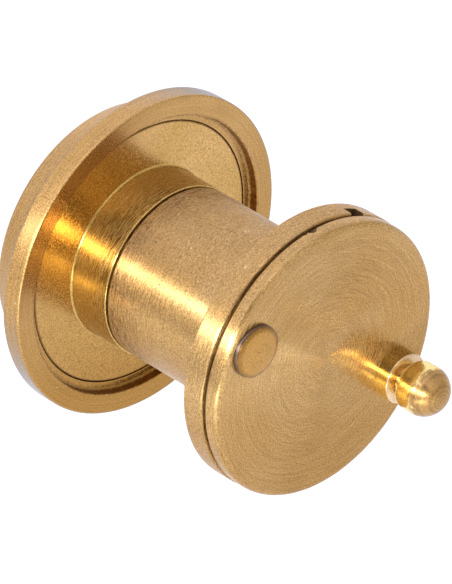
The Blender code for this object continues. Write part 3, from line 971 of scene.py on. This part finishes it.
def make_strip(name, clock, distance, near_y, far_y, width, radiance, color):
    """A long softbox that runs along Y, at an angle in degrees from +X towards +Z."""
    light = bpy.data.lights.new(name, "AREA")
    light.shape = "RECTANGLE"
    light.size = far_y - near_y
    light.size_y = width
    light.energy = radiance * math.pi * light.size * width
    light.color = color
    angle = math.radians(clock)
    away = Vector((math.cos(angle), 0.0, math.sin(angle)))
    item = bpy.data.objects.new(name, light)
    item.location = away * distance + Vector((0.0, (near_y + far_y) / 2.0, 0.0))
    item.rotation_euler = away.to_track_quat("Z", "Y").to_euler()
    item.visible_camera = False
    bpy.context.scene.collection.objects.link(item)


def make_lights():
    """The two upper strips draw the long highlights on the turned pieces, the low one a line below them."""
    make_strip("key_strip", clock=158.0, distance=0.9, near_y=-0.45, far_y=0.65, width=0.18, radiance=9.2,
               color=(0.90, 1.0, 1.12))
    make_strip("front_strip", clock=160.0, distance=0.9, near_y=-1.05, far_y=-0.45, width=0.20,
               radiance=27.0, color=(0.97, 1.0, 0.95))
    make_strip("low_strip", clock=204.0, distance=0.48, near_y=-0.55, far_y=-0.20, width=0.055,
               radiance=11.0, color=(0.84, 1.0, 1.0))


def make_world():
    """A white tent: its top cool, its lower part warm, as with daylight above and a lit table below.

    It glows round the softbox, high on the left, a little more towards the room, and behind on the right.
    It is dimmer low on the right, and dark where an onlooker stands who is mirrored in the metal.
    """
    world = bpy.data.worlds.new("studio")
    bpy.context.scene.world = world
    world.use_nodes = True
    tree = world.node_tree
    place = tree.nodes.new("ShaderNodeTexCoord")

    def zone(direction, start, end, outside, inside):
        """Outside's value away from a direction and inside's along it; start and end are cosines."""
        toward = tree.nodes.new("ShaderNodeVectorMath")
        toward.operation = "DOT_PRODUCT"
        toward.inputs[1].default_value = Vector(direction).normalized()
        tree.links.new(place.outputs["Generated"], toward.inputs[0])
        ramp = tree.nodes.new("ShaderNodeMapRange")
        ramp.interpolation_type = "SMOOTHSTEP"
        for index, value in enumerate((start, end, outside, inside)):
            ramp.inputs[index + 1].default_value = value
        tree.links.new(toward.outputs["Value"], ramp.inputs[0])
        return ramp.outputs[0]

    def product(first, second):
        node = tree.nodes.new("ShaderNodeMath")
        node.operation = "MULTIPLY"
        tree.links.new(first, node.inputs[0])
        tree.links.new(second, node.inputs[1])
        return node.outputs[0]

    softbox_glow = zone((-0.62, 0.15, 0.77), 0.2, 1.0, 1.05, 1.6)
    back_glow = zone((0.72, 0.60, 0.35), 0.7, 1.0, 1.0, 1.5)
    front_glow = zone((-0.35, -0.60, 0.72), 0.70, 0.95, 1.0, 1.15)
    onlooker = zone((-0.572, -0.601, 0.558), 0.92, 0.96, 1.0, 0.3)
    right_dim = zone((0.93, 0.0, -0.3), 0.0, 0.9, 1.0, 0.88)
    tone = tree.nodes.new("ShaderNodeMix")
    tone.data_type = "RGBA"
    tone.inputs[6].default_value = (1.0, 0.98, 0.90, 1.0)
    tone.inputs[7].default_value = (0.98, 1.01, 1.22, 1.0)
    tree.links.new(zone((0.0, 0.3, 1.0), -0.2, 0.8, 0.0, 1.0), tone.inputs[0])
    background = tree.nodes["Background"]
    tree.links.new(tone.outputs[2], background.inputs["Color"])
    glow = product(product(softbox_glow, back_glow), product(front_glow, onlooker))
    tree.links.new(product(glow, right_dim), background.inputs["Strength"])


def make_camera():
    """A long lens, looking down at the viewer from the room side, left of the sight line."""
    camera = bpy.data.cameras.new("camera")
    camera.sensor_width = 36.0
    camera.lens = 519.2
    camera.clip_end = 20.0
    item = bpy.data.objects.new("camera", camera)
    item.location = (-0.70947, -0.76245, 0.69293)
    item.rotation_euler = Vector((-0.57233, -0.60131, 0.55755)).to_track_quat("Z", "Y").to_euler()
    bpy.context.scene.collection.objects.link(item)
    bpy.context.scene.camera = item


make_rose()
make_outer_barrel()
make_bezel()
make_lenses()
make_black_ring("spacer", "lens_spacer", 0.0097, slotted=False)
make_black_ring("lock_ring", "lens_lock_ring", 0.0095, slotted=True)
make_seal()
make_inner_barrel()
make_eyepiece_ring()
make_pivot()
make_washer()
make_cover()
make_knob()
make_knob_screw()
make_floor()
make_world()
make_lights()
make_camera()
bpy.context.scene.view_settings.view_transform = "Standard"
